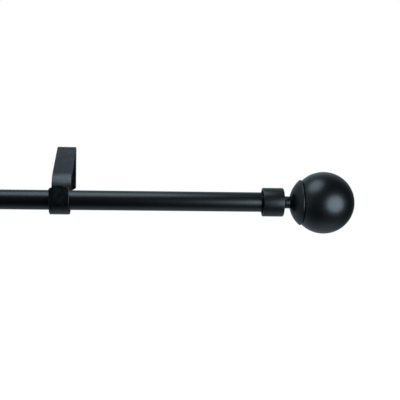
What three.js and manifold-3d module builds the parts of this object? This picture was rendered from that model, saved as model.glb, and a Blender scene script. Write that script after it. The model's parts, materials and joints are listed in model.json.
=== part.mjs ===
// A telescoping curtain rod with two strip brackets and two ball finials, ready to hang on a wall.
//
// Millimetres. X runs along the rod, +Y points into the wall and +Z is up. The origin is the middle of the
// right bracket's back face, where it meets the wall. Each assembly below is built in its own frame on the
// rod's axis (the bracket) or from the collar's mouth outwards (the finial), and is then placed in the rod.
import * as THREE from "three";
import { mergeVertices } from "three/addons/utils/BufferGeometryUtils.js";
import Module from "manifold-3d";

const wasm = await Module();
wasm.setup();

// ---------------------------------------------------------------- driving dimensions
const WALL_TO_AXIS = 63.5; // from the wall to the rod's axis
const STRIP = { width: 16.3, thick: 1.6, endRise: 2.9 }; // flat bar, and how far its rounded ends are crowned
const HOOK_INNER = 10.1; // inside radius of the hook
const TONGUE_TOP = 11.7; // top of the hook's front leg, above the axis
const PLATE_BOTTOM = 6.6; // bottom of the wall plate, above the axis
const BRACKET_TOP = 45.4; // top of the fold, above the axis
const FOLD_RADIUS = 2; // centreline radius of the fold at the top
const BEND_RADIUS = 21; // centreline radius of the bend behind the rod
const ARM_SLOPE = THREE.MathUtils.degToRad(29.3); // fall of the arm from the fold to the bend
const KEYHOLE = { entry: 4, slot: 2.3, entryUp: 32, slotUp: 39 }; // radii and heights above the axis
const LOWER_HOLE = { radius: 2.3, up: 14 };
const LOCK_UP = 1.5; // height of the lock screw above the axis

const TUBE_WALL = 0.8;
const OUTER = { radius: 9.5, length: 680 };
const INNER = { radius: 8, length: 680 };
const SLEEVE = { radius: 9.95, width: 14, slit: 2 };
const FIT = 0.15; // clearance between two pieces that slide or turn on each other

const COLLAR = { radius: 11.75, length: 17.2, bore: 9.7, boreDepth: 14.5, round: 0.8 };
const TUBE_IN_COLLAR = 13; // how far a tube's end stands inside its collar
const NECK = { radius: 5, start: 17.35, end: 22.75 };
const DOME = { radius: 24.6, centre: 47, seat: 22.9, rim: 32.1, lip: 0.5 };
const BALL = { radius: 25.4, centre: 50.6, bore: 4.65, boreEnd: 42 };
const STUD = { radius: 3, start: 3, end: 39 };
const INSERT = { radius: 4.5, start: 25.8, end: 41 };
const PLUG = { flange: 9.4, flangeThick: 1.2, depth: 12 };

const RIGHT_COLLAR_X = 164.5; // from the right bracket to the mouth of the right collar
const OUTER_MOUTH_X = -75; // right-hand end of the outer tube
const ROUND = 36; // facets round a turned piece

// ---------------------------------------------------------------- finishes
const finish = (color, roughness, metalness) => new THREE.MeshStandardMaterial({ color, roughness, metalness });
const SATIN_BLACK = finish(0x141719, 0.4, 0.35);
const BALL_BLACK = finish(0x131618, 0.38, 0);
const NYLON = finish(0x1b1c1d, 0.6, 0);
const ZINC = finish(0xa9acae, 0.35, 0.9);
const BRASS = finish(0xb08d4a, 0.35, 0.9);

// ---------------------------------------------------------------- solids
// A geometry as a manifold-3d solid, from its positions alone.
function solid(geometry) {
  const bare = geometry.index ? geometry.toNonIndexed() : geometry.clone();
  for (const name of Object.keys(bare.attributes)) if (name !== "position") bare.deleteAttribute(name);
  const merged = mergeVertices(bare, 1e-4);
  const vertProperties = new Float32Array(merged.attributes.position.array);
  const triVerts = new Uint32Array(merged.index.array);
  return new wasm.Manifold(new wasm.Mesh({ numProp: 3, vertProperties, triVerts }));
}

function geometryOf(made) {
  const mesh = made.getMesh();
  const geometry = new THREE.BufferGeometry();
  geometry.setAttribute("position", new THREE.BufferAttribute(new Float32Array(mesh.vertProperties), 3));
  geometry.setIndex(new THREE.BufferAttribute(new Uint32Array(mesh.triVerts), 1));
  geometry.computeVertexNormals();
  return geometry;
}

function piece(name, geometry, material) {
  const mesh = new THREE.Mesh(geometry, material);
  mesh.name = name;
  return mesh;
}

// A body turned about X. The profile is a list of [x, radius], in order round the section.
function turned(profile) {
  const geometry = new THREE.LatheGeometry(profile.map(([x, r]) => new THREE.Vector2(Math.max(r, 0), x)), ROUND);
  return geometry.rotateZ(-Math.PI / 2);
}

// A plain ring or tube about X.
const ring = (x0, x1, outer, inner) =>
  turned([[x0, inner], [x0, outer], [x1, outer], [x1, inner], [x0, inner]]);

// Points of a circle's arc, both ends included. Angles are in radians.
function arc(cx, cy, radius, from, to, steps) {
  return Array.from({ length: steps + 1 }, (_, i) => {
    const a = from + ((to - from) * i) / steps;
    return new THREE.Vector2(cx + radius * Math.cos(a), cy + radius * Math.sin(a));
  });
}

// A closed outline given in (Y, Z), extruded along X and centred on x = 0.
function extrudedAlongX(points, width) {
  const geometry = new THREE.ExtrudeGeometry(new THREE.Shape(points), { depth: width, bevelEnabled: false });
  geometry.translate(0, 0, -width / 2);
  const basis = new THREE.Matrix4().makeBasis(
    new THREE.Vector3(0, 1, 0), new THREE.Vector3(0, 0, 1), new THREE.Vector3(1, 0, 0));
  return geometry.applyMatrix4(basis);
}

// A closed outline given in (X, Z), extruded along +Y from y0 to y1.
function extrudedAlongY(shape, y0, y1) {
  const geometry = new THREE.ExtrudeGeometry(shape, { depth: y1 - y0, bevelEnabled: false });
  return geometry.rotateX(Math.PI / 2).translate(0, y1, 0);
}

function circleShape(radius, x = 0, z = 0, steps = 24) {
  return new THREE.Shape(arc(x, z, radius, 0, 2 * Math.PI * (1 - 1 / steps), steps - 1));
}

// ---------------------------------------------------------------- bracket
const HOOK_CENTRE = HOOK_INNER + STRIP.thick / 2; // centreline radius of the hook
const PLATE_Y = WALL_TO_AXIS - STRIP.thick / 2; // centreline of the wall plate

// The strip's centreline in (Y, Z) about the rod's axis, from the foot of the wall plate to the hook's tongue.
function stripCentreline() {
  const foldUp = BRACKET_TOP - FOLD_RADIUS - STRIP.thick / 2;
  const turn = Math.PI / 2 + ARM_SLOPE;
  const fold = arc(PLATE_Y - FOLD_RADIUS, foldUp, FOLD_RADIUS, 0, turn, 8);
  const armTop = fold[fold.length - 1];
  const bendY = HOOK_CENTRE + BEND_RADIUS;
  const armFootY = bendY + BEND_RADIUS * Math.cos(turn);
  const armFootZ = armTop.y - (armTop.x - armFootY) * Math.tan(ARM_SLOPE);
  const bendZ = armFootZ - BEND_RADIUS * Math.sin(turn);
  const bend = arc(bendY, bendZ, BEND_RADIUS, turn, Math.PI, 10);
  const hook = arc(0, 0, HOOK_CENTRE, 0, -Math.PI, 24);
  return [
    new THREE.Vector2(PLATE_Y, PLATE_BOTTOM), ...fold, ...bend, ...hook,
    new THREE.Vector2(-HOOK_CENTRE, TONGUE_TOP),
  ];
}

// The outline of a strip of the given thickness along an open centreline.
function thickened(line, thick) {
  const side = (sign) => line.map((p, i) => {
    const before = line[Math.max(i - 1, 0)];
    const after = line[Math.min(i + 1, line.length - 1)];
    const into = p.clone().sub(before).normalize();
    const outOf = after.clone().sub(p).normalize();
    const along = into.add(outOf).normalize();
    const mitre = i === 0 || i === line.length - 1 ? 1 : 1 / Math.max(along.dot(outOf), 0.5);
    return new THREE.Vector2(p.x - along.y * sign * mitre * thick / 2, p.y + along.x * sign * mitre * thick / 2);
  });
  return [...side(1), ...side(-1).reverse()];
}

// What is cut away to crown a strip's end: the part of a block beyond an arc through both corners and the tip.
// dir is +1 for an end that points up and -1 for one that points down.
function endCutter(tipZ, dir, y0, y1) {
  const half = STRIP.width / 2;
  const radius = (half * half + STRIP.endRise * STRIP.endRise) / (2 * STRIP.endRise);
  const reach = Math.asin(Math.min((half + 0.5) / radius, 1));
  const crown = arc(0, tipZ - dir * radius, radius, dir * (Math.PI / 2 - reach), dir * (Math.PI / 2 + reach), 12);
  const beyond = tipZ + dir * 4;
  const last = crown[crown.length - 1];
  const outline = [...crown, new THREE.Vector2(last.x, beyond), new THREE.Vector2(crown[0].x, beyond)];
  return solid(extrudedAlongY(new THREE.Shape(outline), y0, y1));
}

function bracketStrip() {
  const bar = solid(extrudedAlongX(thickened(stripCentreline(), STRIP.thick), STRIP.width));
  const behind = PLATE_Y - STRIP.thick;
  const beyondWall = WALL_TO_AXIS + 1;
  const { entry, slot, entryUp, slotUp } = KEYHOLE;
  const slotShape = new THREE.Shape([
    new THREE.Vector2(-slot, entryUp), new THREE.Vector2(slot, entryUp),
    ...arc(0, slotUp, slot, 0, Math.PI, 8),
  ]);
  const cuts = [
    endCutter(TONGUE_TOP, 1, -HOOK_CENTRE - 2, -HOOK_CENTRE + 2),
    endCutter(PLATE_BOTTOM, -1, behind, beyondWall),
    solid(extrudedAlongY(circleShape(entry, 0, entryUp), behind, beyondWall)),
    solid(extrudedAlongY(slotShape, behind, beyondWall)),
    solid(extrudedAlongY(circleShape(LOWER_HOLE.radius, 0, LOWER_HOLE.up), behind, beyondWall)),
    solid(extrudedAlongY(circleShape(2.7, 0, LOCK_UP), HOOK_CENTRE - 2, HOOK_CENTRE + 2)),
  ];
  return geometryOf(cuts.reduce((made, cut) => made.subtract(cut), bar));
}

const LOCK = {
  screw: 2.5, pad: 2.2, padFront: 10.15, padBack: 11.35,
  nutFront: HOOK_INNER + STRIP.thick + FIT, nutThick: 3.5, nutAcross: 8,
  knobFront: 17.5, knobThick: 7, knobRadius: 6, knobHollow: 0.35, flutes: 20,
};

// A bar or ring along Y at the lock screw's height.
function lockRound(y0, y1, outer, inner = 0) {
  const shape = circleShape(outer, 0, LOCK_UP);
  if (inner) shape.holes.push(circleShape(inner, 0, LOCK_UP));
  return extrudedAlongY(shape, y0, y1);
}

function lockNut() {
  const shape = new THREE.Shape(arc(0, LOCK_UP, LOCK.nutAcross / Math.sqrt(3), 0, (5 / 3) * Math.PI, 5));
  shape.holes.push(circleShape(LOCK.screw + FIT, 0, LOCK_UP));
  return extrudedAlongY(shape, LOCK.nutFront, LOCK.nutFront + LOCK.nutThick);
}

function lockKnob() {
  const steps = LOCK.flutes * 4;
  const rim = Array.from({ length: steps }, (_, i) => {
    const a = (2 * Math.PI * i) / steps;
    const r = LOCK.knobRadius - LOCK.knobHollow * (1 - Math.cos(a * LOCK.flutes)) / 2;
    return new THREE.Vector2(r * Math.cos(a), LOCK_UP + r * Math.sin(a));
  });
  const shape = new THREE.Shape(rim);
  shape.holes.push(circleShape(LOCK.screw + FIT, 0, LOCK_UP));
  return extrudedAlongY(shape, LOCK.knobFront, LOCK.knobFront + LOCK.knobThick);
}

// A split sleeve that carries a tube of the given radius in the hook. Its slit faces up.
function hookSleeve(tubeRadius) {
  const inner = tubeRadius + FIT;
  const slit = (radius) => Math.asin(SLEEVE.slit / 2 / radius);
  const outside = arc(0, 0, SLEEVE.radius, Math.PI / 2 + slit(SLEEVE.radius),
    (5 / 2) * Math.PI - slit(SLEEVE.radius), ROUND);
  const inside = arc(0, 0, inner, (5 / 2) * Math.PI - slit(inner), Math.PI / 2 + slit(inner), ROUND);
  return extrudedAlongX([...outside, ...inside], SLEEVE.width);
}

function bracket(side, tubeRadius) {
  const group = new THREE.Group();
  const lockBack = LOCK.knobFront + LOCK.knobThick;
  group.add(
    piece(`${side}_bracket_strip`, bracketStrip(), SATIN_BLACK),
    piece(`${side}_lock_nut`, lockNut(), SATIN_BLACK),
    piece(`${side}_lock_pad`, lockRound(LOCK.padFront, LOCK.padBack, LOCK.pad), NYLON),
    piece(`${side}_lock_screw`, lockRound(LOCK.padBack + FIT, lockBack, LOCK.screw), ZINC),
    piece(`${side}_lock_knob`, lockKnob(), SATIN_BLACK),
    piece(`${side}_hook_sleeve`, hookSleeve(tubeRadius), NYLON),
  );
  return group;
}

// ---------------------------------------------------------------- finial, from the collar's mouth at x = 0 outwards
function collar() {
  const { radius, length, bore, boreDepth, round } = COLLAR;
  const passage = STUD.radius + 0.3;
  return turned([
    [0, bore], [0, radius - round],
    ...arc(round, radius - round, round, Math.PI, Math.PI / 2, 3).map((p) => [p.x, p.y]),
    ...arc(length - round, radius - round, round, Math.PI / 2, 0, 3).map((p) => [p.x, p.y]),
    [length, passage], [boreDepth, passage], [boreDepth, bore], [0, bore],
  ].filter(([x, r], i, all) => !i || x !== all[i - 1][0] || r !== all[i - 1][1]));
}

function dome() {
  const { radius, centre, seat, rim, lip } = DOME;
  const passage = STUD.radius + FIT;
  const seatAngle = Math.PI - Math.acos((centre - seat) / radius);
  const rimAngle = Math.PI - Math.acos((centre - rim) / radius);
  const cup = BALL.radius + 0.25; // the inside follows the ball
  const cupFrom = Math.PI - Math.acos((BALL.centre - rim) / cup);
  const cupTo = Math.PI - Math.asin(passage / cup);
  const outside = arc(centre, 0, radius, seatAngle, rimAngle, 8);
  const inside = arc(BALL.centre, 0, cup, cupFrom, cupTo, 8);
  const edge = outside[outside.length - 1];
  outside[outside.length - 1] = new THREE.Vector2(edge.x - lip, edge.y - lip / 4);
  return turned([
    [seat, passage], ...outside.map((p) => [p.x, p.y]), [rim, edge.y - lip],
    ...inside.map((p) => [p.x, p.y]), [seat, passage],
  ]);
}

function ball() {
  const { radius, centre, bore, boreEnd } = BALL;
  const from = Math.PI - Math.asin(bore / radius);
  const skin = arc(centre, 0, radius, from, 0, 20).map((p) => [p.x, p.y]);
  return turned([[boreEnd, 0], [boreEnd, bore], ...skin]);
}

// The plug that closes a tube and holds the finial's stud. Its flange centres the collar.
function endPlug(tubeRadius) {
  const body = tubeRadius - TUBE_WALL - FIT;
  const end = TUBE_IN_COLLAR;
  const flangeStart = end + 0.1;
  const flangeEnd = flangeStart + PLUG.flangeThick;
  const thread = STUD.radius + FIT;
  return turned([
    [end - PLUG.depth, thread], [end - PLUG.depth, body - 0.4], [end - PLUG.depth + 1, body],
    [flangeStart, body], [flangeStart, PLUG.flange], [flangeEnd, PLUG.flange], [flangeEnd, thread],
    [end - PLUG.depth, thread],
  ]);
}

function finial(side, tubeRadius) {
  const group = new THREE.Group();
  group.add(
    piece(`${side}_end_plug`, endPlug(tubeRadius), NYLON),
    piece(`${side}_collar`, collar(), SATIN_BLACK),
    piece(`${side}_finial_neck`, ring(NECK.start, NECK.end, NECK.radius, STUD.radius + FIT), SATIN_BLACK),
    piece(`${side}_finial_dome`, dome(), SATIN_BLACK),
    piece(`${side}_finial_ball`, ball(), BALL_BLACK),
    piece(`${side}_ball_insert`, ring(INSERT.start, INSERT.end, INSERT.radius, STUD.radius + FIT), BRASS),
    piece(`${side}_finial_stud`, turned([
      [STUD.start, 0], [STUD.start, STUD.radius - 0.5], [STUD.start + 0.5, STUD.radius],
      [STUD.end - 0.5, STUD.radius], [STUD.end, STUD.radius - 0.5], [STUD.end, 0],
    ]), ZINC),
  );
  return group;
}

// ---------------------------------------------------------------- tubes, along X from the right bracket
const INNER_END_X = RIGHT_COLLAR_X + TUBE_IN_COLLAR;
const INNER_FOOT_X = INNER_END_X - INNER.length;
const OUTER_END_X = OUTER_MOUTH_X - OUTER.length;
const LEFT_COLLAR_X = OUTER_END_X + TUBE_IN_COLLAR;
const LEFT_BRACKET_X = LEFT_COLLAR_X + RIGHT_COLLAR_X; // as far from its collar as the right bracket is

// The plastic foot on the inner tube's hidden end, which keeps it centred in the outer tube.
function glide() {
  const bore = OUTER.radius - TUBE_WALL;
  const spigot = INNER.radius - TUBE_WALL - FIT;
  const shoulder = INNER_FOOT_X - 0.1;
  return turned([
    [shoulder - 10, 3], [shoulder - 10, bore - 0.8], [shoulder - 9, bore - FIT - 0.05],
    [shoulder, bore - FIT - 0.05], [shoulder, spigot], [shoulder + 12, spigot - 0.3], [shoulder + 12, 3],
    [shoulder - 10, 3],
  ]);
}

// The plastic ring in the outer tube's mouth, which the inner tube slides through.
function mouthBush() {
  const inner = INNER.radius + FIT;
  const spigot = OUTER.radius - TUBE_WALL - FIT;
  const face = OUTER_MOUTH_X + 0.1;
  return turned([
    [OUTER_MOUTH_X - 12, inner], [OUTER_MOUTH_X - 12, spigot], [face, spigot], [face, OUTER.radius],
    [face + 1.2, OUTER.radius], [face + 1.8, OUTER.radius - 0.6], [face + 1.8, inner], [OUTER_MOUTH_X - 12, inner],
  ]);
}

const tube = (name, x0, x1, radius) => piece(name, ring(x0, x1, radius, radius - TUBE_WALL), SATIN_BLACK);

// ---------------------------------------------------------------- assembly
const rod = new THREE.Group();
rod.position.set(0, -WALL_TO_AXIS, -(PLATE_BOTTOM + BRACKET_TOP) / 2);

const rightFinial = finial("right", INNER.radius);
rightFinial.position.x = RIGHT_COLLAR_X;
const leftFinial = finial("left", OUTER.radius);
leftFinial.position.x = LEFT_COLLAR_X;
leftFinial.rotation.z = Math.PI;

const rightBracket = bracket("right", INNER.radius);
const leftBracket = bracket("left", OUTER.radius);
leftBracket.position.x = LEFT_BRACKET_X;

rod.add(
  rightBracket,
  leftBracket,
  rightFinial,
  leftFinial,
  tube("inner_tube", INNER_FOOT_X, INNER_END_X, INNER.radius),
  tube("outer_tube", OUTER_END_X, OUTER_MOUTH_X, OUTER.radius),
  piece("inner_tube_glide", glide(), NYLON),
  piece("outer_tube_mouth_bush", mouthBush(), NYLON),
);

const curtainRod = new THREE.Group();
curtainRod.add(rod);
export default curtainRod;
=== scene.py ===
"""Curtain rod with brackets: the looks of every piece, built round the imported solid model."""

import json
import math

import bmesh
import bpy
from mathutils import Matrix, Vector


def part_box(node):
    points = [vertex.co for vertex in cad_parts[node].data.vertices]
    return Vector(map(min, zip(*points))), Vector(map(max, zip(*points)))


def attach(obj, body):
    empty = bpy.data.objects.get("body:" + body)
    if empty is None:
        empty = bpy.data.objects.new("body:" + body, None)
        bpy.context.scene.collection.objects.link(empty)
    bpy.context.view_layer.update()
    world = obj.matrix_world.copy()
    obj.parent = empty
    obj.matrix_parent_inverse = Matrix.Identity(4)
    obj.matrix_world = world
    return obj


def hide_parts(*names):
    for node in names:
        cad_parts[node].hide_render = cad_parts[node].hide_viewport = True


bl_info = {
    "name": "Curtain Rod With Brackets",
    "version": (1, 0, 0),
    "blender": (4, 5, 0),
    "location": "3D View > Sidebar > Curtain Rod",
    "description": "Builds a telescoping curtain rod with strip brackets and ball finials",
    "category": "Object",
}

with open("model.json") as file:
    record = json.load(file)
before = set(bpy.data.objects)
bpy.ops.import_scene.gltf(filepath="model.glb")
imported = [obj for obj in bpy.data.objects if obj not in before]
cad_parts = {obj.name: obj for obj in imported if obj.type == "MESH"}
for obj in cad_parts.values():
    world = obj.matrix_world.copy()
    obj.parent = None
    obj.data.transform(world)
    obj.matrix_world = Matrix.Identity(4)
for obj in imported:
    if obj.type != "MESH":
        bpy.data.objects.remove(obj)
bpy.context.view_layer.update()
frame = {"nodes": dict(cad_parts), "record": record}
MM = 0.001
SAME_POINT = 0.001 * MM  # points nearer to each other than this are merged
SAME_RADIUS = 1e-9  # rings whose radii differ by less than this, in metres, are the same


# ---------------------------------------------------------------- places, all from the solid model
def middle(node):
    """The middle of a solid's box."""
    low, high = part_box(node)
    return (low + high) / 2


AXIS = middle("inner_tube")  # the rod's axis runs along X through this point
WALL_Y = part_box("right_bracket_strip")[1].y
BRACKET_X = {side: middle(f"{side}_bracket_strip").x for side in ("right", "left")}
MOUTH_X = {"right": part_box("right_collar")[0].x, "left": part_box("left_collar")[1].x}  # the collars' open ends
OUTWARD = {"right": 1, "left": -1}
TUBE_RADIUS = {
    "right": (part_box("inner_tube")[1].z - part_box("inner_tube")[0].z) / 2,
    "left": (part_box("outer_tube")[1].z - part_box("outer_tube")[0].z) / 2,
}


# ---------------------------------------------------------------- sizes and colours a user would change
def length(name, description, default, digits=5):
    return bpy.props.FloatProperty(
        name=name, description=description, default=default, min=0, unit="LENGTH", subtype="DISTANCE",
        precision=digits)


def share(name, description, default):
    return bpy.props.FloatProperty(
        name=name, description=description, default=default, min=0, max=1, subtype="FACTOR")


def tilt(name, description, default):
    return bpy.props.FloatProperty(
        name=name, description=description, default=default, subtype="ANGLE", unit="ROTATION")


def amount(name, description, default, least=0):
    return bpy.props.FloatProperty(name=name, description=description, default=default, min=least)


def colour(name, description, default):
    return bpy.props.FloatVectorProperty(
        name=name, description=description, default=default, size=3, min=0, max=1, subtype="COLOR")


class CurtainRodSizes(bpy.types.PropertyGroup):
    """Sizes of the pieces, in metres, the arm's slope and the number of the knob's flutes."""
    tube_wall: length("Tube wall", "Thickness of both tubes' walls", 0.8 * MM)
    tube_rim: length("Tube rim", "Rounding of a tube's cut rim", 0.25 * MM)
    strip_thick: length("Strip thickness", "Thickness of the bent strip", 1.6 * MM)
    strip_edge: length("Strip edge", "Rounding of the strip's long edges", 0.74 * MM)
    end_rise: length("End rise", "How far the strip's rounded ends are crowned", 2.9 * MM)
    fold_radius: length("Fold radius", "Centreline radius of the fold at the wall plate's top", 2 * MM)
    bend_radius: length("Bend radius", "Centreline radius of the bend behind the rod", 21 * MM)
    arm_slope: tilt("Arm slope", "Fall of the arm from the fold to the bend", math.radians(29.3))
    collar_round: length("Collar corner", "Rounding of the collar's outer corners", 1.1 * MM)
    knob_flutes: bpy.props.IntProperty(
        name="Knob flutes", description="Number of hollows round the thumb knob", default=20, min=6, max=40)


class CurtainRodFinish(bpy.types.PropertyGroup):
    """Colours and textures of the finishes."""
    coat: colour("Coat", "Colour of the satin black coat", (0.0018, 0.0019, 0.0021))
    coat_thin: colour("Thin coat", "Colour where the coat is thinner", (0.0026, 0.0028, 0.0031))
    coat_roughness: share("Coat roughness", "Roughness of the strips', tubes' and collars' coat", 0.38)
    ball_roughness: share("Ball roughness", "Roughness of the painted ball", 0.34)
    grain: length("Grain depth", "Depth of the coat's fine grain", 0.0015 * MM, 7)
    peel: length("Peel depth", "Depth of the coat's broad ripple", 0.004 * MM, 7)
    nylon: colour("Nylon", "Colour of the moulded nylon", (0.016, 0.0165, 0.017))
    zinc: colour("Zinc", "Colour of the plated screws", (0.52, 0.53, 0.54))
    brass: colour("Brass", "Colour of the brass inserts", (0.68, 0.47, 0.17))
    wear: colour("Wear", "Colour of edges where the coat has rubbed thin", (0.035, 0.037, 0.04))


class CurtainRodStage(bpy.types.PropertyGroup):
    """Camera, lights and floor."""
    camera_place: bpy.props.FloatVectorProperty(
        name="Camera", description="Where the camera stands", default=(0.0665, -0.7735, -0.0126), size=3,
        subtype="TRANSLATION", unit="LENGTH")
    camera_pan: tilt("Pan", "Turn of the camera to the right", 0.0659)
    camera_dip: tilt("Dip", "Turn of the camera downwards", 0.01715)
    camera_roll: tilt("Roll", "Roll of the camera, clockwise", -0.0118)
    lens: amount("Lens", "Focal length on a 36 mm sensor, in millimetres", 78.5, 1)
    floor_drop: length("Floor drop", "Height of the rod above the floor", 0.45)
    room_light: amount("Room light", "Strength of the room's glows", 1.18)
    overhead_light: amount("Overhead light", "Brightness of the soft box over the bracket", 3.84)
    front_light: amount("Front light", "Brightness of the soft box before the right finial", 5.83)
    light_colour: colour("Light colour", "Colour of all the lights", (0.68, 0.865, 1.0))


# ---------------------------------------------------------------- modelling
def deselect():
    """Leaves edit mode, and deselects everything."""
    if bpy.context.object and bpy.context.object.mode != "OBJECT":
        bpy.ops.object.mode_set(mode="OBJECT")
    bpy.ops.object.select_all(action="DESELECT")


def only(piece):
    """Makes a piece the one that is selected and active."""
    deselect()
    piece.select_set(True)
    bpy.context.view_layer.objects.active = piece


def settle(piece):
    """Puts a piece's place, turn and size into its mesh."""
    only(piece)
    bpy.ops.object.transform_apply(location=True, rotation=True, scale=True)
    return piece


def turned(name, profile, segments=96, closed=True):
    """A piece turned about the rod's axis, from rings given as (x, radius).

    A closed profile ends on its first ring. An open one starts with a cap, and a last ring whose radius is
    zero is drawn together into a pole."""
    deselect()
    x, r = profile[0]
    bpy.ops.mesh.primitive_circle_add(
        vertices=segments, radius=r, fill_type="NOTHING" if closed else "NGON",
        location=(x, AXIS.y, AXIS.z), rotation=(0, math.pi / 2, 0))
    piece = settle(bpy.context.object)
    piece.name = piece.data.name = name
    bpy.ops.object.mode_set(mode="EDIT")
    bpy.ops.mesh.select_all(action="SELECT")
    for (xa, ra), (xb, rb) in zip(profile, profile[1:]):
        bpy.ops.mesh.extrude_region_move(TRANSFORM_OT_translate={"value": (xb - xa, 0, 0)})
        if rb == 0:
            bpy.ops.mesh.merge(type="CENTER")
        elif abs(rb - ra) > SAME_RADIUS:
            bpy.ops.transform.resize(value=(1, rb / ra, rb / ra), center_override=(xb, AXIS.y, AXIS.z))
    bpy.ops.mesh.select_all(action="SELECT")
    bpy.ops.mesh.remove_doubles(threshold=SAME_POINT)
    bpy.ops.mesh.normals_make_consistent(inside=False)
    bpy.ops.object.mode_set(mode="OBJECT")
    return piece


def arc(cx, cr, radius, start, end, steps):
    """Rings (x, radius) along an arc of the profile. Angles are in degrees."""
    return [
        (cx + radius * math.cos(math.radians(start + (end - start) * i / steps)),
         cr + radius * math.sin(math.radians(start + (end - start) * i / steps)))
        for i in range(steps + 1)
    ]


def sweep(cy, cz, radius, start, end, steps):
    """Points (y, z) along an arc of a strip's middle. Angles are in radians."""
    turns = [start + (end - start) * i / steps for i in range(steps + 1)]
    return [(cy + radius * math.cos(turn), cz + radius * math.sin(turn)) for turn in turns]


def along(side, profile):
    """A profile measured outwards from a collar's mouth, placed on the rod."""
    return [(MOUTH_X[side] + OUTWARD[side] * x, r) for x, r in profile]


def apply_modifier(piece, kind, **settings):
    """Adds a modifier with its settings, and applies it."""
    only(piece)
    bpy.ops.object.modifier_add(type=kind)
    modifier = piece.modifiers[-1]
    for key, value in settings.items():
        setattr(modifier, key, value)
    bpy.ops.object.modifier_apply(modifier=modifier.name)
    return piece


def bevel(piece, width, segments=3, angle=35, clamp=True):
    """Rounds the edges that turn by more than an angle in degrees."""
    return apply_modifier(
        piece, "BEVEL", width=width, segments=segments, limit_method="ANGLE", angle_limit=math.radians(angle),
        use_clamp_overlap=clamp)


def cut(piece, cutter):
    """Takes a cutter away from a piece, and removes the cutter."""
    apply_modifier(piece, "BOOLEAN", operation="DIFFERENCE", solver="EXACT", object=cutter)
    bpy.data.objects.remove(cutter)


def smooth(piece, angle=32):
    """Shades a piece smooth, but for the edges that turn by more than an angle in degrees."""
    only(piece)
    bpy.ops.object.shade_smooth_by_angle(angle=math.radians(angle))


def bar(radius, start, end, vertices=48):
    """A round bar along Y, for cutting and for the lock's pieces. start and end are points on its axis."""
    deselect()
    centre = (Vector(start) + Vector(end)) / 2
    bpy.ops.mesh.primitive_cylinder_add(
        vertices=vertices, radius=radius, depth=(Vector(end) - Vector(start)).length, location=centre,
        rotation=(math.pi / 2, 0, 0))
    return settle(bpy.context.object)


def block(low, high):
    """A box between two corners, for cutting."""
    deselect()
    low, high = Vector(low), Vector(high)
    bpy.ops.mesh.primitive_cube_add(size=1, location=(low + high) / 2)
    bpy.context.object.scale = high - low
    return settle(bpy.context.object)


def ring(name, radius, place, vertices, fill_type):
    """An open ring or a filled disc that faces the wall, from which a piece is drawn out."""
    deselect()
    bpy.ops.mesh.primitive_circle_add(
        vertices=vertices, radius=radius, fill_type=fill_type, location=place, rotation=(-math.pi / 2, 0, 0))
    piece = settle(bpy.context.object)
    piece.name = piece.data.name = name
    return piece


def copied(piece, name, shift, turn_at=None):
    """A copy with its own mesh, moved along, or turned half round about an upright line at turn_at."""
    only(piece)
    bpy.ops.object.duplicate()
    twin = bpy.context.object
    twin.name = twin.data.name = name
    if turn_at is not None:
        bpy.ops.object.mode_set(mode="EDIT")
        bpy.ops.mesh.select_all(action="SELECT")
        bpy.ops.transform.rotate(value=math.pi, orient_axis="Z", center_override=turn_at)
        bpy.ops.object.mode_set(mode="OBJECT")
    twin.location = shift
    return settle(twin)


def mark_edges(piece, reach):
    """Stores how sharply the surface turns at each point, from 0 to 1, as the attribute edge_wear.

    A turn by reach, in radians, or by more is 1."""
    shape = bmesh.new()
    shape.from_mesh(piece.data)
    shape.verts.ensure_lookup_table()
    values = []
    for point in shape.verts:
        turns = [edge.calc_face_angle(0) for edge in point.link_edges]
        values.append(min(1.0, max(turns, default=0) / reach))
    shape.free()
    attribute = piece.data.attributes.new("edge_wear", "FLOAT", "POINT")
    attribute.data.foreach_set("value", values)


# ---------------------------------------------------------------- finishes
class Socket:
    """One output of a node, so that shader maths can be written as an expression."""

    def __init__(self, owner, output):
        self.owner = owner
        self.output = output

    def _maths(self, operation, *values):
        return self.owner.node("ShaderNodeMath", {"operation": operation}, dict(enumerate(values)))

    def __add__(self, other): return self._maths("ADD", self, other)
    def __radd__(self, other): return self._maths("ADD", other, self)
    def __sub__(self, other): return self._maths("SUBTRACT", self, other)
    def __rsub__(self, other): return self._maths("SUBTRACT", other, self)
    def __mul__(self, other): return self._maths("MULTIPLY", self, other)
    def __rmul__(self, other): return self._maths("MULTIPLY", other, self)

    def clamped(self):
        return self._maths("MINIMUM", self._maths("MAXIMUM", self, 0.0), 1.0)

    def exponential(self):
        return self._maths("EXPONENT", self)


class Nodes:
    """The nodes of a material or of the world."""

    def __init__(self, owner):
        self.made = owner
        owner.use_nodes = True
        self.tree = owner.node_tree
        self.tree.nodes.clear()

    def node(self, kind, settings, sockets, output=0):
        """Adds a node: its settings first, then the values or links of its sockets."""
        made = self.tree.nodes.new(kind)
        for key, value in settings.items():
            setattr(made, key, value)
        for key, value in sockets.items():
            if isinstance(value, Socket):
                self.tree.links.new(value.output, made.inputs[key])
            else:
                made.inputs[key].default_value = value
        return Socket(self, made.outputs[output]) if made.outputs else None


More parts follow.
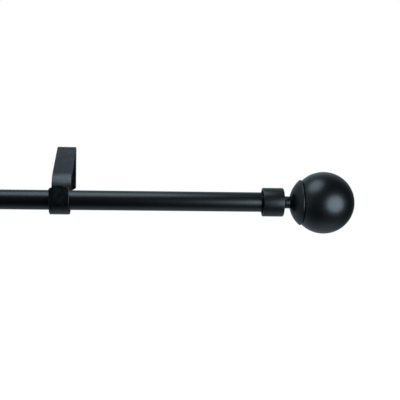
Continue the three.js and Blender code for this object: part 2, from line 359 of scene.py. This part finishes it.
class Finish(Nodes):
    """A material made of nodes, which reads object coordinates."""
    MIX_FACTOR, MIX_A, MIX_B, MIX_RESULT = 0, 6, 7, 2  # the sockets of a Mix node that mixes colours

    def __init__(self, name):
        super().__init__(bpy.data.materials.new(name))
        self.place = self.node("ShaderNodeTexCoord", {}, {}, "Object")

    def noise(self, scale, detail=2.0, roughness=0.5, stretch=None):
        """Clouds from 0 to 1, about scale of them to the metre, times the stretch along each axis."""
        place = self.place
        if stretch:
            place = self.node("ShaderNodeMapping", {}, {"Vector": self.place, "Scale": stretch})
        return self.node("ShaderNodeTexNoise", {}, {
            "Vector": place, "Scale": scale, "Detail": detail, "Roughness": roughness}, "Fac")

    def spread(self, value, low, high):
        """A value from 0 below low to 1 above high, with a smooth turn between."""
        return self.node("ShaderNodeMapRange", {"interpolation_type": "SMOOTHSTEP"}, {
            "Value": value, "From Min": low, "From Max": high})

    def blend(self, share_of_b, a, b):
        """A colour between a and b."""
        a, b = (paint if isinstance(paint, Socket) else (*paint, 1.0) for paint in (a, b))
        return self.node("ShaderNodeMix", {"data_type": "RGBA"}, {
            self.MIX_FACTOR: share_of_b, self.MIX_A: a, self.MIX_B: b}, self.MIX_RESULT)

    def bump(self, height, depth, under=None):
        """Relief of a height from 0 to 1, over a depth in metres."""
        sockets = {"Height": height, "Strength": 1.0, "Distance": depth}
        if under:
            sockets["Normal"] = under
        return self.node("ShaderNodeBump", {}, sockets, "Normal")

    def finish(self, **sockets):
        """Adds the shader, with an underscore for each space in a socket's name, and returns the material."""
        shader = self.node("ShaderNodeBsdfPrincipled", {}, {
            key.replace("_", " "): value for key, value in sockets.items()}, "BSDF")
        self.node("ShaderNodeOutputMaterial", {}, {"Surface": shader})
        return self.made


def satin_coat(name, roughness, worn):
    """Satin black coat: a fine grain over a broad ripple, handled patches and, if worn, rubbed edges."""
    look = bpy.context.scene.curtain_rod_finish
    coat = Finish(name)
    cloud = coat.noise(22, 3)
    grain = coat.noise(2600, 2, 0.6)
    peel = coat.noise(620, 1, 0.4)
    speck = coat.spread(coat.noise(900, 1), 0.70, 0.78)
    colour_of = coat.blend(coat.spread(cloud, 0.35, 0.7), tuple(look.coat), tuple(look.coat_thin))
    handled = coat.spread(coat.noise(60, 4, 0.6), 0.45, 0.75)
    rough = roughness + 0.02 * handled + 0.04 * (grain - 0.5) + 0.06 * speck
    if worn:
        near_edge = coat.node("ShaderNodeAttribute", {"attribute_name": "edge_wear"}, {}, "Fac")
        rubbed = (near_edge * coat.spread(coat.noise(240, 4, 0.65), 0.46, 0.66)).clamped()
        colour_of = coat.blend(0.6 * rubbed, colour_of, tuple(look.wear))
        rough = rough - 0.06 * rubbed
    relief = coat.bump(grain, look.grain, coat.bump(peel, look.peel))
    return coat.finish(Base_Color=colour_of, Roughness=rough.clamped(), Normal=relief, Metallic=0.0)


def moulded_nylon(name):
    """Moulded nylon: a fine spark texture, and streaks along the rod where the tint turns lighter."""
    look = bpy.context.scene.curtain_rod_finish
    nylon = Finish(name)
    spark = nylon.noise(1500, 2, 0.6)
    flow = nylon.noise(45, 3, 0.5, (0.3, 1, 1))
    tint = nylon.blend(nylon.spread(flow, 0.3, 0.7), tuple(look.nylon), tuple(1.5 * c for c in look.nylon))
    rough = 0.52 + 0.12 * (spark - 0.5) + 0.05 * flow
    return nylon.finish(Base_Color=tint, Roughness=rough.clamped(), Normal=nylon.bump(spark, 0.015 * MM))


def bright_metal(name, tint, roughness, stretch):
    """Machined metal: fine lines round the piece, and patches that are duller and darker."""
    metal = Finish(name)
    lines = metal.noise(1800, 2, 0.5, stretch)
    dull = metal.spread(metal.noise(160, 4, 0.6), 0.42, 0.7)
    colour_of = metal.blend(0.45 * dull, tint, tuple(0.55 * c for c in tint))
    rough = roughness + 0.14 * dull + 0.08 * (lines - 0.5)
    return metal.finish(
        Base_Color=colour_of, Roughness=rough.clamped(), Metallic=1.0, Normal=metal.bump(lines, 0.006 * MM))


def finish_of(name):
    """A finish by name, made the first time it is asked for."""
    look = bpy.context.scene.curtain_rod_finish
    makers = {
        "rod_coat": lambda: satin_coat("rod_coat", look.coat_roughness, False),
        "strip_coat": lambda: satin_coat("strip_coat", look.coat_roughness, True),
        "ball_paint": lambda: satin_coat("ball_paint", look.ball_roughness, False),
        "nylon": lambda: moulded_nylon("nylon"),
        "zinc": lambda: bright_metal("zinc", tuple(look.zinc), 0.3, (1, 8, 1)),
        "brass": lambda: bright_metal("brass", tuple(look.brass), 0.28, (8, 1, 1)),
    }
    return bpy.data.materials.get(name) or makers[name]()


def body_of(node):
    """The body that a solid belongs to."""
    for body, nodes in frame["record"]["behaviour"]["bodies"].items():
        if node in nodes:
            return body
    raise ValueError(f"no body holds {node}")


def face_outward(piece):
    """Turns a closed piece's faces over if they look inwards."""
    shape = bmesh.new()
    shape.from_mesh(piece.data)
    inside_out = shape.calc_volume(signed=True) < 0
    shape.free()
    if inside_out:
        only(piece)
        bpy.ops.object.mode_set(mode="EDIT")
        bpy.ops.mesh.select_all(action="SELECT")
        bpy.ops.mesh.flip_normals()
        bpy.ops.object.mode_set(mode="OBJECT")


def stand_in(piece, node, finish):
    """Finishes a modelled piece, shows it in place of its solid and lets it ride on the solid's body."""
    face_outward(piece)
    piece.data.materials.clear()
    piece.data.materials.append(finish_of(finish))
    smooth(piece)
    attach(piece, body_of(node))
    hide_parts(node)


def at_both_ends(right, part, finish):
    """Shows a piece at the rod's right end, and a copy that is turned round at its left end."""
    left = copied(right, f"left_{part}_shown", (MOUTH_X["left"] - MOUTH_X["right"], 0, 0),
                  (MOUTH_X["right"], AXIS.y, AXIS.z))
    stand_in(right, f"right_{part}", finish)
    stand_in(left, f"left_{part}", finish)


def on_both_brackets(right, part, finish, wear_reach):
    """Shows a piece on the right bracket and a copy on the left one.

    Its edges are marked for wear, fully where they turn by wear_reach degrees or more."""
    mark_edges(right, math.radians(wear_reach))
    left = copied(right, f"left_{part}_shown", (BRACKET_X["left"] - BRACKET_X["right"], 0, 0))
    stand_in(right, f"right_{part}", finish)
    stand_in(left, f"left_{part}", finish)


# ---------------------------------------------------------------- pieces
class CURTAIN_OT_tubes(bpy.types.Operator):
    """Makes both telescoping tubes, with rounded rims"""
    bl_idname = "curtain.tubes"
    bl_label = "Tubes"

    def execute(self, context):
        sizes = context.scene.curtain_rod_sizes
        wall, rim = sizes.tube_wall, sizes.tube_rim
        for node in ("inner_tube", "outer_tube"):
            low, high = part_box(node)
            r = (high.z - low.z) / 2
            middle_radius = r - wall / 2
            half = wall / 2 - rim
            profile = [
                *arc(low.x + rim, middle_radius + half, rim, 180, 90, 3),
                *arc(high.x - rim, middle_radius + half, rim, 90, 0, 3),
                *arc(high.x - rim, middle_radius - half, rim, 0, -90, 3),
                *arc(low.x + rim, middle_radius - half, rim, 270, 180, 3),
            ]
            profile.append(profile[0])
            stand_in(turned(f"{node}_shown", profile, 128), node, "rod_coat")
        return {"FINISHED"}


class CURTAIN_OT_mouth_bush(bpy.types.Operator):
    """Makes the plastic ring in the outer tube's mouth"""
    bl_idname = "curtain.mouth_bush"
    bl_label = "Mouth bush"

    def execute(self, context):
        low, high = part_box("outer_tube_mouth_bush")
        slack = 0.15 * MM  # between the bush and each tube
        lead, lead_in = 0.8 * MM, 0.4 * MM  # the taper that starts the spigot: its length and its depth
        ease, mouth = 0.2 * MM, 0.25 * MM  # chamfers of the bore's back and front
        chamfer, flat, corner = 0.15 * MM, 0.7 * MM, 0.9 * MM  # of the flange, from its back to its front
        front = 1.1 * MM  # from the flange's outside to its front face
        inner = TUBE_RADIUS["right"] + slack
        outer = TUBE_RADIUS["left"]
        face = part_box("outer_tube")[1].x + 0.1 * MM
        spigot = outer - context.scene.curtain_rod_sizes.tube_wall - slack
        lip = high.x
        profile = [
            (low.x, inner + ease), (low.x, spigot - lead_in), (low.x + lead, spigot), (face, spigot),
            (face, outer - chamfer), (face + chamfer, outer), (face + flat, outer),
            *arc(lip - corner, outer - corner, corner, 80, 10, 5),
            (lip, outer - front), (lip, inner + mouth), (lip - mouth, inner), (low.x + ease, inner),
            (low.x, inner + ease),
        ]
        stand_in(turned("mouth_bush_shown", profile), "outer_tube_mouth_bush", "nylon")
        return {"FINISHED"}


class CURTAIN_OT_collars(bpy.types.Operator):
    """Makes the collar over each tube's end, with a rounded mouth and a rounded shoulder"""
    bl_idname = "curtain.collars"
    bl_label = "Collars"

    def execute(self, context):
        low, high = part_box("right_collar")
        radius = (high.z - low.z) / 2
        long = high.x - low.x
        corner = context.scene.curtain_rod_sizes.collar_round
        bore, depth, passage = 9.7 * MM, 14.5 * MM, 3.3 * MM  # over the tube, and for the stud
        lip, mouth = 0.35 * MM, 0.6 * MM  # rounding of the mouth, inside and outside
        dish = 0.3 * MM  # depth of the end's shallow dish
        profile = along("right", [
            (lip, bore), *arc(lip, bore + lip, lip, 240, 180, 2),
            *arc(mouth, radius - mouth, mouth, 180, 90, 5),
            *arc(long - corner, radius - corner, corner, 90, 0, 7),
            (long, radius - 2.6 * MM), (long - dish, radius - 3.1 * MM), (long - dish, passage),
            (depth, passage), (depth, bore), (lip, bore),
        ])
        at_both_ends(turned("right_collar_shown", profile, 112), "collar", "rod_coat")
        return {"FINISHED"}


class CURTAIN_OT_finials(bpy.types.Operator):
    """Makes each finial's neck, dome cup and ball"""
    bl_idname = "curtain.finials"
    bl_label = "Finials"
    STUD_PASSAGE = 3.15 * MM  # radius of the hole for the stud through neck and dome

    def execute(self, context):
        pieces = {
            "finial_neck": (self.neck(), "rod_coat"),
            "finial_dome": (self.dome(), "rod_coat"),
            "finial_ball": (self.ball(), "ball_paint"),
        }
        for part, (right, finish) in pieces.items():
            at_both_ends(right, part, finish)
        return {"FINISHED"}

    def neck(self):
        """A short spacer with rounded corners between collar and cup."""
        low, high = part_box("right_finial_neck")
        start, end = (x - MOUTH_X["right"] for x in (low.x, high.x))
        radius = (high.z - low.z) / 2
        ease, bore = 0.4 * MM, self.STUD_PASSAGE
        return turned("right_finial_neck_shown", along("right", [
            (start, bore), *arc(start + ease, radius - ease, ease, 180, 90, 4),
            *arc(end - ease, radius - ease, ease, 90, 0, 4), (end, bore), (start, bore),
        ]), 72)

    def dome(self):
        """A shallow cup: part of a sphere outside, a hollow for the ball inside and a rounded rim."""
        low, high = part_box("right_finial_dome")
        seat, rim = (x - MOUTH_X["right"] for x in (low.x, high.x))
        centre, radius = 47 * MM, 24.6 * MM  # of the outside, from the collar's mouth
        ball_centre, cup = middle("right_finial_ball").x - MOUTH_X["right"], 25.62 * MM
        start = 180 - math.degrees(math.acos((centre - seat) / radius))
        lip = 0.85 * MM
        slant = math.acos((centre - rim + lip) / (radius - lip))
        end = 180 - math.degrees(slant)
        skin = arc(centre, 0, radius, start, end, 26)
        cup_start = 180 - math.degrees(math.acos((ball_centre - rim) / cup))
        cup_end = 180 - math.degrees(math.asin(self.STUD_PASSAGE / cup))
        inside = arc(ball_centre, 0, cup, cup_start, cup_end, 20)
        rounding = arc(rim - lip, (radius - lip) * math.sin(slant), lip, end, 0, 14)[1:]
        return turned("right_finial_dome_shown", along("right", [
            (seat, self.STUD_PASSAGE), *skin, *rounding, *inside, (seat, self.STUD_PASSAGE),
        ]), 144)

    def ball(self):
        """A ball with a blind bore for the threaded insert, closed by a pole at its outer end."""
        radius, bore, bore_end = 25.4 * MM, 4.65 * MM, 42 * MM
        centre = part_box("right_finial_ball")[1].x - radius - MOUTH_X["right"]
        start = 180 - math.degrees(math.asin(bore / radius))
        last_ring = 1.5  # degrees from the pole
        return turned("right_finial_ball_shown", along("right", [
            (bore_end, bore), *arc(centre, 0, radius, start, last_ring, 56), (centre + radius, 0),
        ]), 144, closed=False)


class CURTAIN_OT_bracket_strips(bpy.types.Operator):
    """Bends each bracket from one flat strip: wall plate, fold, arm, hook and rounded tongue"""
    bl_idname = "curtain.bracket_strips"
    bl_label = "Bracket strips"
    SPARE = 2 * MM  # the strip's extra length at each end, before its ends are crowned
    TONGUE_UP = 11.7 * MM  # height of the tongue's tip above the rod's axis
    FOOT_UP = 6.6 * MM  # height of the wall plate's foot above the rod's axis
    KEYHOLE_RADIUS, KEYHOLE_UP = 4 * MM, 32 * MM  # the keyhole's wide part, and its height above the axis
    SLOT_RADIUS, SLOT_UP = 2.3 * MM, 39 * MM  # the keyhole's slot, and the height of its rounded top
    HOLE_RADIUS, HOLE_UP = 2.3 * MM, 14 * MM  # the round hole below the keyhole
    LOCK_HOLE_RADIUS = 2.7 * MM
    WEAR_REACH = 13  # degrees

    def execute(self, context):
        sizes = context.scene.curtain_rod_sizes
        right = self.strip("right_bracket_strip_shown", sizes)
        self.drill(right)
        on_both_brackets(right, "bracket_strip", "strip_coat", self.WEAR_REACH)
        return {"FINISHED"}

    def centreline(self, sizes):
        """Points (y, z) of the strip's middle, from below the wall plate's foot to above the tongue's tip."""
        low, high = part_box("right_bracket_strip")
        half = sizes.strip_thick / 2
        plate_y, top_z = high.y - half, high.z - half
        hook = AXIS.z - low.z - half
        fold, bend, slope = sizes.fold_radius, sizes.bend_radius, sizes.arm_slope
        turn = math.pi / 2 + slope
        fold_points = sweep(plate_y - fold, top_z - fold, fold, 0, turn, 14)
        arm_y, arm_z = fold_points[-1]
        bend_y = AXIS.y + hook + bend
        foot_y = bend_y + bend * math.cos(turn)
        bend_z = arm_z - (arm_y - foot_y) * math.tan(slope) - bend * math.sin(turn)
        return [
            (plate_y, AXIS.z + self.FOOT_UP - self.SPARE), *fold_points,
            *sweep(bend_y, bend_z, bend, turn, math.pi, 20), *sweep(AXIS.y, AXIS.z, hook, 0, -math.pi, 48),
            (AXIS.y - hook, AXIS.z + self.TONGUE_UP + self.SPARE),
        ]

    def strip(self, name, sizes):
        """A flat sheet drawn out along the centreline, thickened, rounded along its edges and crowned."""
        low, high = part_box("right_bracket_strip")
        path = self.centreline(sizes)
        (y0, z0), (y1, z1) = path[:2]
        deselect()
        bpy.ops.mesh.primitive_plane_add(
            size=1, location=(BRACKET_X["right"], y0, (z0 + z1) / 2), rotation=(math.pi / 2, 0, 0))
        strip = bpy.context.object
        strip.name = strip.data.name = name
        strip.scale = (high.x - low.x, z1 - z0, 1)
        settle(strip)
        upper = [v.index for v in strip.data.vertices if v.co.z > (z0 + z1) / 2]
        bpy.ops.object.mode_set(mode="EDIT")
        bpy.ops.mesh.select_mode(type="EDGE")
        bpy.ops.mesh.select_all(action="DESELECT")
        bpy.ops.object.mode_set(mode="OBJECT")
        for edge in strip.data.edges:
            edge.select = all(v in upper for v in edge.vertices)
        bpy.ops.object.mode_set(mode="EDIT")
        for (ya, za), (yb, zb) in zip(path[1:], path[2:]):
            bpy.ops.mesh.extrude_region_move(TRANSFORM_OT_translate={"value": (0, yb - ya, zb - za)})
        bpy.ops.mesh.select_mode(type="VERT")
        bpy.ops.mesh.select_all(action="SELECT")
        bpy.ops.mesh.remove_doubles(threshold=SAME_POINT)
        bpy.ops.object.mode_set(mode="OBJECT")
        apply_modifier(strip, "SOLIDIFY", thickness=sizes.strip_thick, offset=0, use_even_offset=True)
        bevel(strip, sizes.strip_edge, 6, 60, clamp=False)
        for up, way, y in ((self.TONGUE_UP, 1, path[-1][0]), (self.FOOT_UP, -1, path[0][0])):
            self.crown(strip, sizes.end_rise, AXIS.z + up, way, y, (high.x - low.x) / 2)
        return strip

    def crown(self, strip, rise, tip_z, way, y, half):
        """Rounds one end of the strip with a wide arc through its tip and both corners.

        way is 1 for an end that points up and -1 for one that points down."""
        radius = (half * half + rise * rise) / (2 * rise)
        reach, margin = 3 * MM, 2 * MM  # the cutter's reach through the strip and past its sides
        x = BRACKET_X["right"]
        edge_z = tip_z - way * rise * 1.2  # a little past the corners
        low_z, high_z = sorted((edge_z, tip_z + way * 2 * self.SPARE))
        cutter = block((x - half - margin, y - reach, low_z), (x + half + margin, y + reach, high_z))
        centre_z = tip_z - way * radius
        cut(cutter, bar(radius, (x, y - 2 * reach, centre_z), (x, y + 2 * reach, centre_z), 160))
        cut(strip, cutter)

    def drill(self, strip):
        """Cuts the wall plate's keyhole and round hole, and the lock's hole in the hook's back leg."""
        x = BRACKET_X["right"]
        front, back = WALL_Y - 4 * MM, WALL_Y + MM
        slot, keyhole_z, slot_z = self.SLOT_RADIUS, AXIS.z + self.KEYHOLE_UP, AXIS.z + self.SLOT_UP
        for radius, z in (
                (self.KEYHOLE_RADIUS, keyhole_z), (slot, slot_z), (self.HOLE_RADIUS, AXIS.z + self.HOLE_UP)):
            cut(strip, bar(radius, (x, front, z), (x, back, z)))
        cut(strip, block((x - slot, front, keyhole_z), (x + slot, back, slot_z)))
        z, leg, reach = middle("right_lock_screw").z, middle("right_lock_pad").y, 3 * MM
        cut(strip, bar(self.LOCK_HOLE_RADIUS, (x, leg - reach, z), (x, leg + reach, z)))


class CURTAIN_OT_sleeves(bpy.types.Operator):
    """Makes the split sleeve between each tube and its hook"""
    bl_idname = "curtain.sleeves"
    bl_label = "Hook sleeves"

    def execute(self, context):
        slack, slit = 0.15 * MM, 2 * MM  # between tube and sleeve, and the width of the slit on top
        for side in ("right", "left"):
            node = f"{side}_hook_sleeve"
            low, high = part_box(node)
            outer = AXIS.z - low.z
            inner = TUBE_RADIUS[side] + slack
            ease = min(0.3 * MM, (outer - inner) * 0.4)
            sleeve = turned(f"{node}_shown", [
                (low.x + ease, inner), (low.x, inner + ease), (low.x, outer - ease), (low.x + ease, outer),
                (high.x - ease, outer), (high.x, outer - ease), (high.x, inner + ease),
                (high.x - ease, inner), (low.x + ease, inner),
            ])
            cut(sleeve, block(
                (low.x - MM, AXIS.y - slit / 2, AXIS.z + inner / 2),
                (high.x + MM, AXIS.y + slit / 2, AXIS.z + 2 * outer)))
            stand_in(sleeve, node, "nylon")
        return {"FINISHED"}


class CURTAIN_OT_locks(bpy.types.Operator):
    """Makes each lock: a welded nut, a threaded screw and a fluted thumb knob"""
    bl_idname = "curtain.locks"
    bl_label = "Locks"
    WEAR_REACH = 25  # degrees

    def execute(self, context):
        sizes = context.scene.curtain_rod_sizes
        pieces = {
            "lock_nut": (self.nut(), "strip_coat"),
            "lock_screw": (self.screw(), "zinc"),
            "lock_knob": (self.knob(sizes.knob_flutes), "strip_coat"),
        }
        for part, (right, finish) in pieces.items():
            on_both_brackets(right, part, finish, self.WEAR_REACH)
        return {"FINISHED"}

    def nut(self):
        """A hexagon with a flat on top and rounded corners, bored for the screw."""
        low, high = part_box("right_lock_nut")
        centre = middle("right_lock_nut")
        across = high.z - low.z
        nut = bar(across / math.sqrt(3), (centre.x, low.y, centre.z), (centre.x, high.y, centre.z), 6)
        nut.name = nut.data.name = "right_lock_nut_shown"
        bpy.ops.object.mode_set(mode="EDIT")
        bpy.ops.mesh.select_all(action="SELECT")
        bpy.ops.transform.rotate(value=math.pi / 6, orient_axis="Y", center_override=centre)
        bpy.ops.object.mode_set(mode="OBJECT")
        bevel(nut, 0.35 * MM, 3, 25)
        bore = 2.66 * MM
        cut(nut, bar(bore, (centre.x, low.y - MM, centre.z), (centre.x, high.y + MM, centre.z), 64))
        return bevel(nut, 0.15 * MM, 2, 50)

    def screw(self):
        """A threaded bar, drawn out ring by ring, with its thread as closed rings."""
        low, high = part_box("right_lock_screw")
        centre = middle("right_lock_screw")
        crest, pitch, ease = (high.z - low.z) / 2, 0.8 * MM, 0.3 * MM  # ease is the ends' chamfer
        root, long = crest - 0.42 * MM, high.y - low.y
        at, radius = 0, root - ease
        screw = ring("right_lock_screw_shown", radius, (centre.x, low.y, centre.z), 48, "NGON")
        thread = (0.36, crest), (0.52, crest), (0.88, root), (1, root)  # its rings, at shares of the pitch
        rings = [(ease, root)]
        y = ease
        while y + pitch < long - 0.4 * MM:
            rings += [(y + part * pitch, next_radius) for part, next_radius in thread]
            y += pitch
        rings += [(long - ease, root), (long, root - ease)]
        bpy.ops.object.mode_set(mode="EDIT")
        bpy.ops.mesh.select_all(action="SELECT")
        for reach, next_radius in rings:
            bpy.ops.mesh.extrude_region_move(TRANSFORM_OT_translate={"value": (0, reach - at, 0)})
            if next_radius != radius:
                ratio = next_radius / radius
                bpy.ops.transform.resize(
                    value=(ratio, 1, ratio), center_override=(centre.x, low.y + reach, centre.z))
            at, radius = reach, next_radius
        bpy.ops.mesh.select_all(action="SELECT")
        bpy.ops.mesh.normals_make_consistent(inside=False)
        bpy.ops.object.mode_set(mode="OBJECT")
        return screw

    def knob(self, flutes):
        """A fluted ring drawn out into rim, front, hollow and bore, and back to where it starts."""
        low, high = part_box("right_lock_knob")
        centre = middle("right_lock_knob")
        radius, thick = (high.z - low.z) / 2, high.y - low.y
        points = 6  # round the rim, to each flute
        knob = ring("right_lock_knob_shown", radius, (centre.x, low.y, centre.z), flutes * points, "NOTHING")
        # A flute's sides and its bottom: their share of the radius, and their points of each six
        for depth, in_flute in ((0.955, (2, 4)), (0.93, (3,))):
            for i, point in enumerate(knob.data.vertices):
                point.select = i % points in in_flute
            for edge in knob.data.edges:
                edge.select = False
            bpy.ops.object.mode_set(mode="EDIT")
            bpy.ops.transform.resize(value=(depth, 1, depth), center_override=(centre.x, low.y, centre.z))
            bpy.ops.object.mode_set(mode="OBJECT")
        bpy.ops.object.mode_set(mode="EDIT")
        bpy.ops.mesh.select_all(action="SELECT")
        bore = 2.65 * MM / (radius * 0.97)  # as a share of the fluted ring's mean radius
        ease, hollow = 0.25 * MM, 0.5 * MM  # a step of the rim's rounding, and the front hollow's depth
        at, size = 2 * ease, 1.0
        bpy.ops.transform.translate(value=(0, at, 0))
        # Rings of the profile: their size as a share of the fluted ring, and the step along the axis to each
        profile = (
            (1.0, thick - 4 * ease), (0.985, ease), (0.94, ease), (0.62, 0), (0.58, -hollow), (bore, 0),
            (bore, -(thick - hollow)), (0.62, 0), (0.94, 0), (0.985, ease), (1.0, ease),
        )
        for next_size, rise in profile:
            bpy.ops.mesh.extrude_region_move(TRANSFORM_OT_translate={"value": (0, rise, 0)})
            at += rise
            if next_size != size:
                ratio = next_size / size
                bpy.ops.transform.resize(
                    value=(ratio, 1, ratio), center_override=(centre.x, low.y + at, centre.z))
            size = next_size
        bpy.ops.mesh.select_all(action="SELECT")
        bpy.ops.mesh.remove_doubles(threshold=2 * SAME_POINT)
        bpy.ops.mesh.normals_make_consistent(inside=False)
        bpy.ops.object.mode_set(mode="OBJECT")
        return knob


class CURTAIN_OT_inner_pieces(bpy.types.Operator):
    """Gives the solids that stay, mostly hidden inside, their finishes"""
    bl_idname = "curtain.inner_pieces"
    bl_label = "Inner pieces"

    def execute(self, context):
        finishes = {
            "end_plug": "nylon", "lock_pad": "nylon", "inner_tube_glide": "nylon", "finial_stud": "zinc",
            "ball_insert": "brass",
        }
        for name, solid in frame["nodes"].items():
            for ending, finish in finishes.items():
                if name.endswith(ending):
                    solid.data.materials.clear()
                    solid.data.materials.append(finish_of(finish))
        return {"FINISHED"}


class CURTAIN_OT_stage(bpy.types.Operator):
    """Sets up the pale floor, the soft studio light and the camera"""
    bl_idname = "curtain.stage"
    bl_label = "Stage"
    # Broad glows of the room: azimuth from straight ahead of the rod towards its right end, elevation, half
    # width, all in degrees, and strength
    ROOM_GLOWS = (
        (172, 36, 27, 0.60), (135, -75, 25, 0.57), (-79, 12, 24, 0.46), (-127, -38, 28, 0.39),
        (176, -23, 24, 0.40), (-5, 4, 20, 0.08), (-139, 23, 27, 0.22),
    )
    HALF_FALL = 1.386  # makes a glow half as strong at its half width as in its middle
    # Each soft box's place, the point that it is aimed at, and its width and height, in metres
    OVERHEAD_BOX = (0.0154, -0.1452, 0.2822), (0, AXIS.y, AXIS.z), (0.353, 0.287)
    FRONT_BOX = (0.32, -0.2362, -0.0381), (0.213, AXIS.y, AXIS.z), (0.232, 0.193)
    FLOOR_RADIUS = 4  # metres

    def execute(self, context):
        stage = context.scene.curtain_rod_stage
        self.floor(stage)
        self.room(context.scene, stage)
        self.soft_box("overhead_box", stage, *self.OVERHEAD_BOX, stage.overhead_light)
        self.soft_box("front_box", stage, *self.FRONT_BOX, stage.front_light)
        self.camera(context.scene, stage)
        return {"FINISHED"}

    def floor(self, stage):
        """A pale paper floor that glows evenly by itself and is left out of the coat's reflections."""
        deselect()
        bpy.ops.mesh.primitive_circle_add(
            vertices=128, radius=self.FLOOR_RADIUS, fill_type="NGON",
            location=(AXIS.x, AXIS.y, AXIS.z - stage.floor_drop))
        floor = settle(bpy.context.object)
        floor.name = floor.data.name = "studio_floor"
        paper = Finish("floor_paper")
        tint = paper.blend(paper.noise(40, 4), (0.97, 0.97, 0.97), (1.0, 1.0, 1.0))
        floor.data.materials.append(paper.finish(
            Base_Color=tint, Roughness=0.9, Specular_IOR_Level=0.0, Emission_Color=tint,
            Emission_Strength=1.0))
        floor.visible_glossy = floor.visible_diffuse = False

    def room(self, scene, stage):
        """A room that the camera sees white, while the coat mirrors its glows and the dark between them."""
        scene.world = bpy.data.worlds.new("studio_room")
        room = Nodes(scene.world)
        way = room.node("ShaderNodeTexCoord", {}, {}, "Generated")
        glow = 0.0
        for azimuth, elevation, width, strength in self.ROOM_GLOWS:
            a, e = math.radians(azimuth), math.radians(elevation)
            centre = (math.cos(e) * math.sin(a), -math.cos(e) * math.cos(a), math.sin(e))
            facing = room.node(
                "ShaderNodeVectorMath", {"operation": "DOT_PRODUCT"}, {0: way, 1: centre}, "Value")
            fall = ((facing - 1.0) * (self.HALF_FALL / math.radians(width) ** 2)).exponential()
            glow = glow + fall * (strength * stage.room_light)
        to_camera = room.node("ShaderNodeLightPath", {}, {}, "Is Camera Ray")
        walls = room.node("ShaderNodeBackground", {}, {"Color": (1, 1, 1, 1), "Strength": 1.0})
        lights = room.node("ShaderNodeBackground", {}, {"Color": (*stage.light_colour, 1), "Strength": glow})
        both = room.node("ShaderNodeMixShader", {}, {0: to_camera, 1: lights, 2: walls})
        room.node("ShaderNodeOutputWorld", {}, {"Surface": both})

    def soft_box(self, name, stage, place, target, size, radiance):
        """A soft oval light aimed at a point. Its power is pi times its brightness times its area."""
        light = bpy.data.lights.new(name, "AREA")
        light.shape = "ELLIPSE"
        light.size, light.size_y = size
        area = math.pi / 4 * size[0] * size[1]
        light.energy = radiance * math.pi * area
        light.color = stage.light_colour
        lamp = bpy.data.objects.new(name, light)
        bpy.context.scene.collection.objects.link(lamp)
        lamp.location = place
        lamp.rotation_euler = (Vector(target) - Vector(place)).to_track_quat("-Z", "Y").to_euler()
        lamp.visible_camera = False

    def camera(self, scene, stage):
        """A camera turned by pan, dip and roll from straight at the wall."""
        camera = bpy.data.cameras.new("camera")
        camera.lens = stage.lens
        camera.sensor_width = 36
        eye = bpy.data.objects.new("camera", camera)
        scene.collection.objects.link(eye)
        pan, dip, roll = stage.camera_pan, stage.camera_dip, stage.camera_roll
        ahead = Vector((math.sin(pan) * math.cos(dip), math.cos(pan) * math.cos(dip), -math.sin(dip)))
        right = Vector((math.cos(pan), -math.sin(pan), 0))
        up = right.cross(ahead)
        level = Matrix((right, up, -ahead)).transposed()
        facing = (level @ Matrix.Rotation(-roll, 3, "Z")).to_4x4()
        eye.matrix_world = Matrix.Translation(stage.camera_place) @ facing
        scene.camera = eye
        scene.view_settings.view_transform = "Standard"


PIECE_OPERATORS = (
    CURTAIN_OT_tubes, CURTAIN_OT_mouth_bush, CURTAIN_OT_collars, CURTAIN_OT_finials,
    CURTAIN_OT_bracket_strips, CURTAIN_OT_sleeves, CURTAIN_OT_locks, CURTAIN_OT_inner_pieces,
)


class CURTAIN_PT_panel(bpy.types.Panel):
    """Lists the sizes, the finishes and the steps that build the rod"""
    bl_idname = "CURTAIN_PT_panel"
    bl_label = "Curtain Rod"
    bl_space_type = "VIEW_3D"
    bl_region_type = "UI"
    bl_category = "Curtain Rod"

    def draw(self, context):
        for group in GROUPS:
            settings = getattr(context.scene, group)
            box = self.layout.box()
            for name in settings.__annotations__:
                box.prop(settings, name)
        for step in (*PIECE_OPERATORS, CURTAIN_OT_stage):
            self.layout.operator(step.bl_idname)


GROUPS = {
    "curtain_rod_sizes": CurtainRodSizes, "curtain_rod_finish": CurtainRodFinish,
    "curtain_rod_stage": CurtainRodStage,
}
CLASSES = (*GROUPS.values(), *PIECE_OPERATORS, CURTAIN_OT_stage, CURTAIN_PT_panel)


def register():
    for cls in CLASSES:
        bpy.utils.register_class(cls)
    for name, group in GROUPS.items():
        setattr(bpy.types.Scene, name, bpy.props.PointerProperty(type=group))


def unregister():
    for name in GROUPS:
        delattr(bpy.types.Scene, name)
    for cls in reversed(CLASSES):
        bpy.utils.unregister_class(cls)


def main():
    register()
    bpy.ops.curtain.tubes()
    bpy.ops.curtain.mouth_bush()
    bpy.ops.curtain.collars()
    bpy.ops.curtain.finials()
    bpy.ops.curtain.bracket_strips()
    bpy.ops.curtain.sleeves()
    bpy.ops.curtain.locks()
    bpy.ops.curtain.inner_pieces()
    bpy.ops.curtain.stage()


if __name__ == "__main__":
    main()
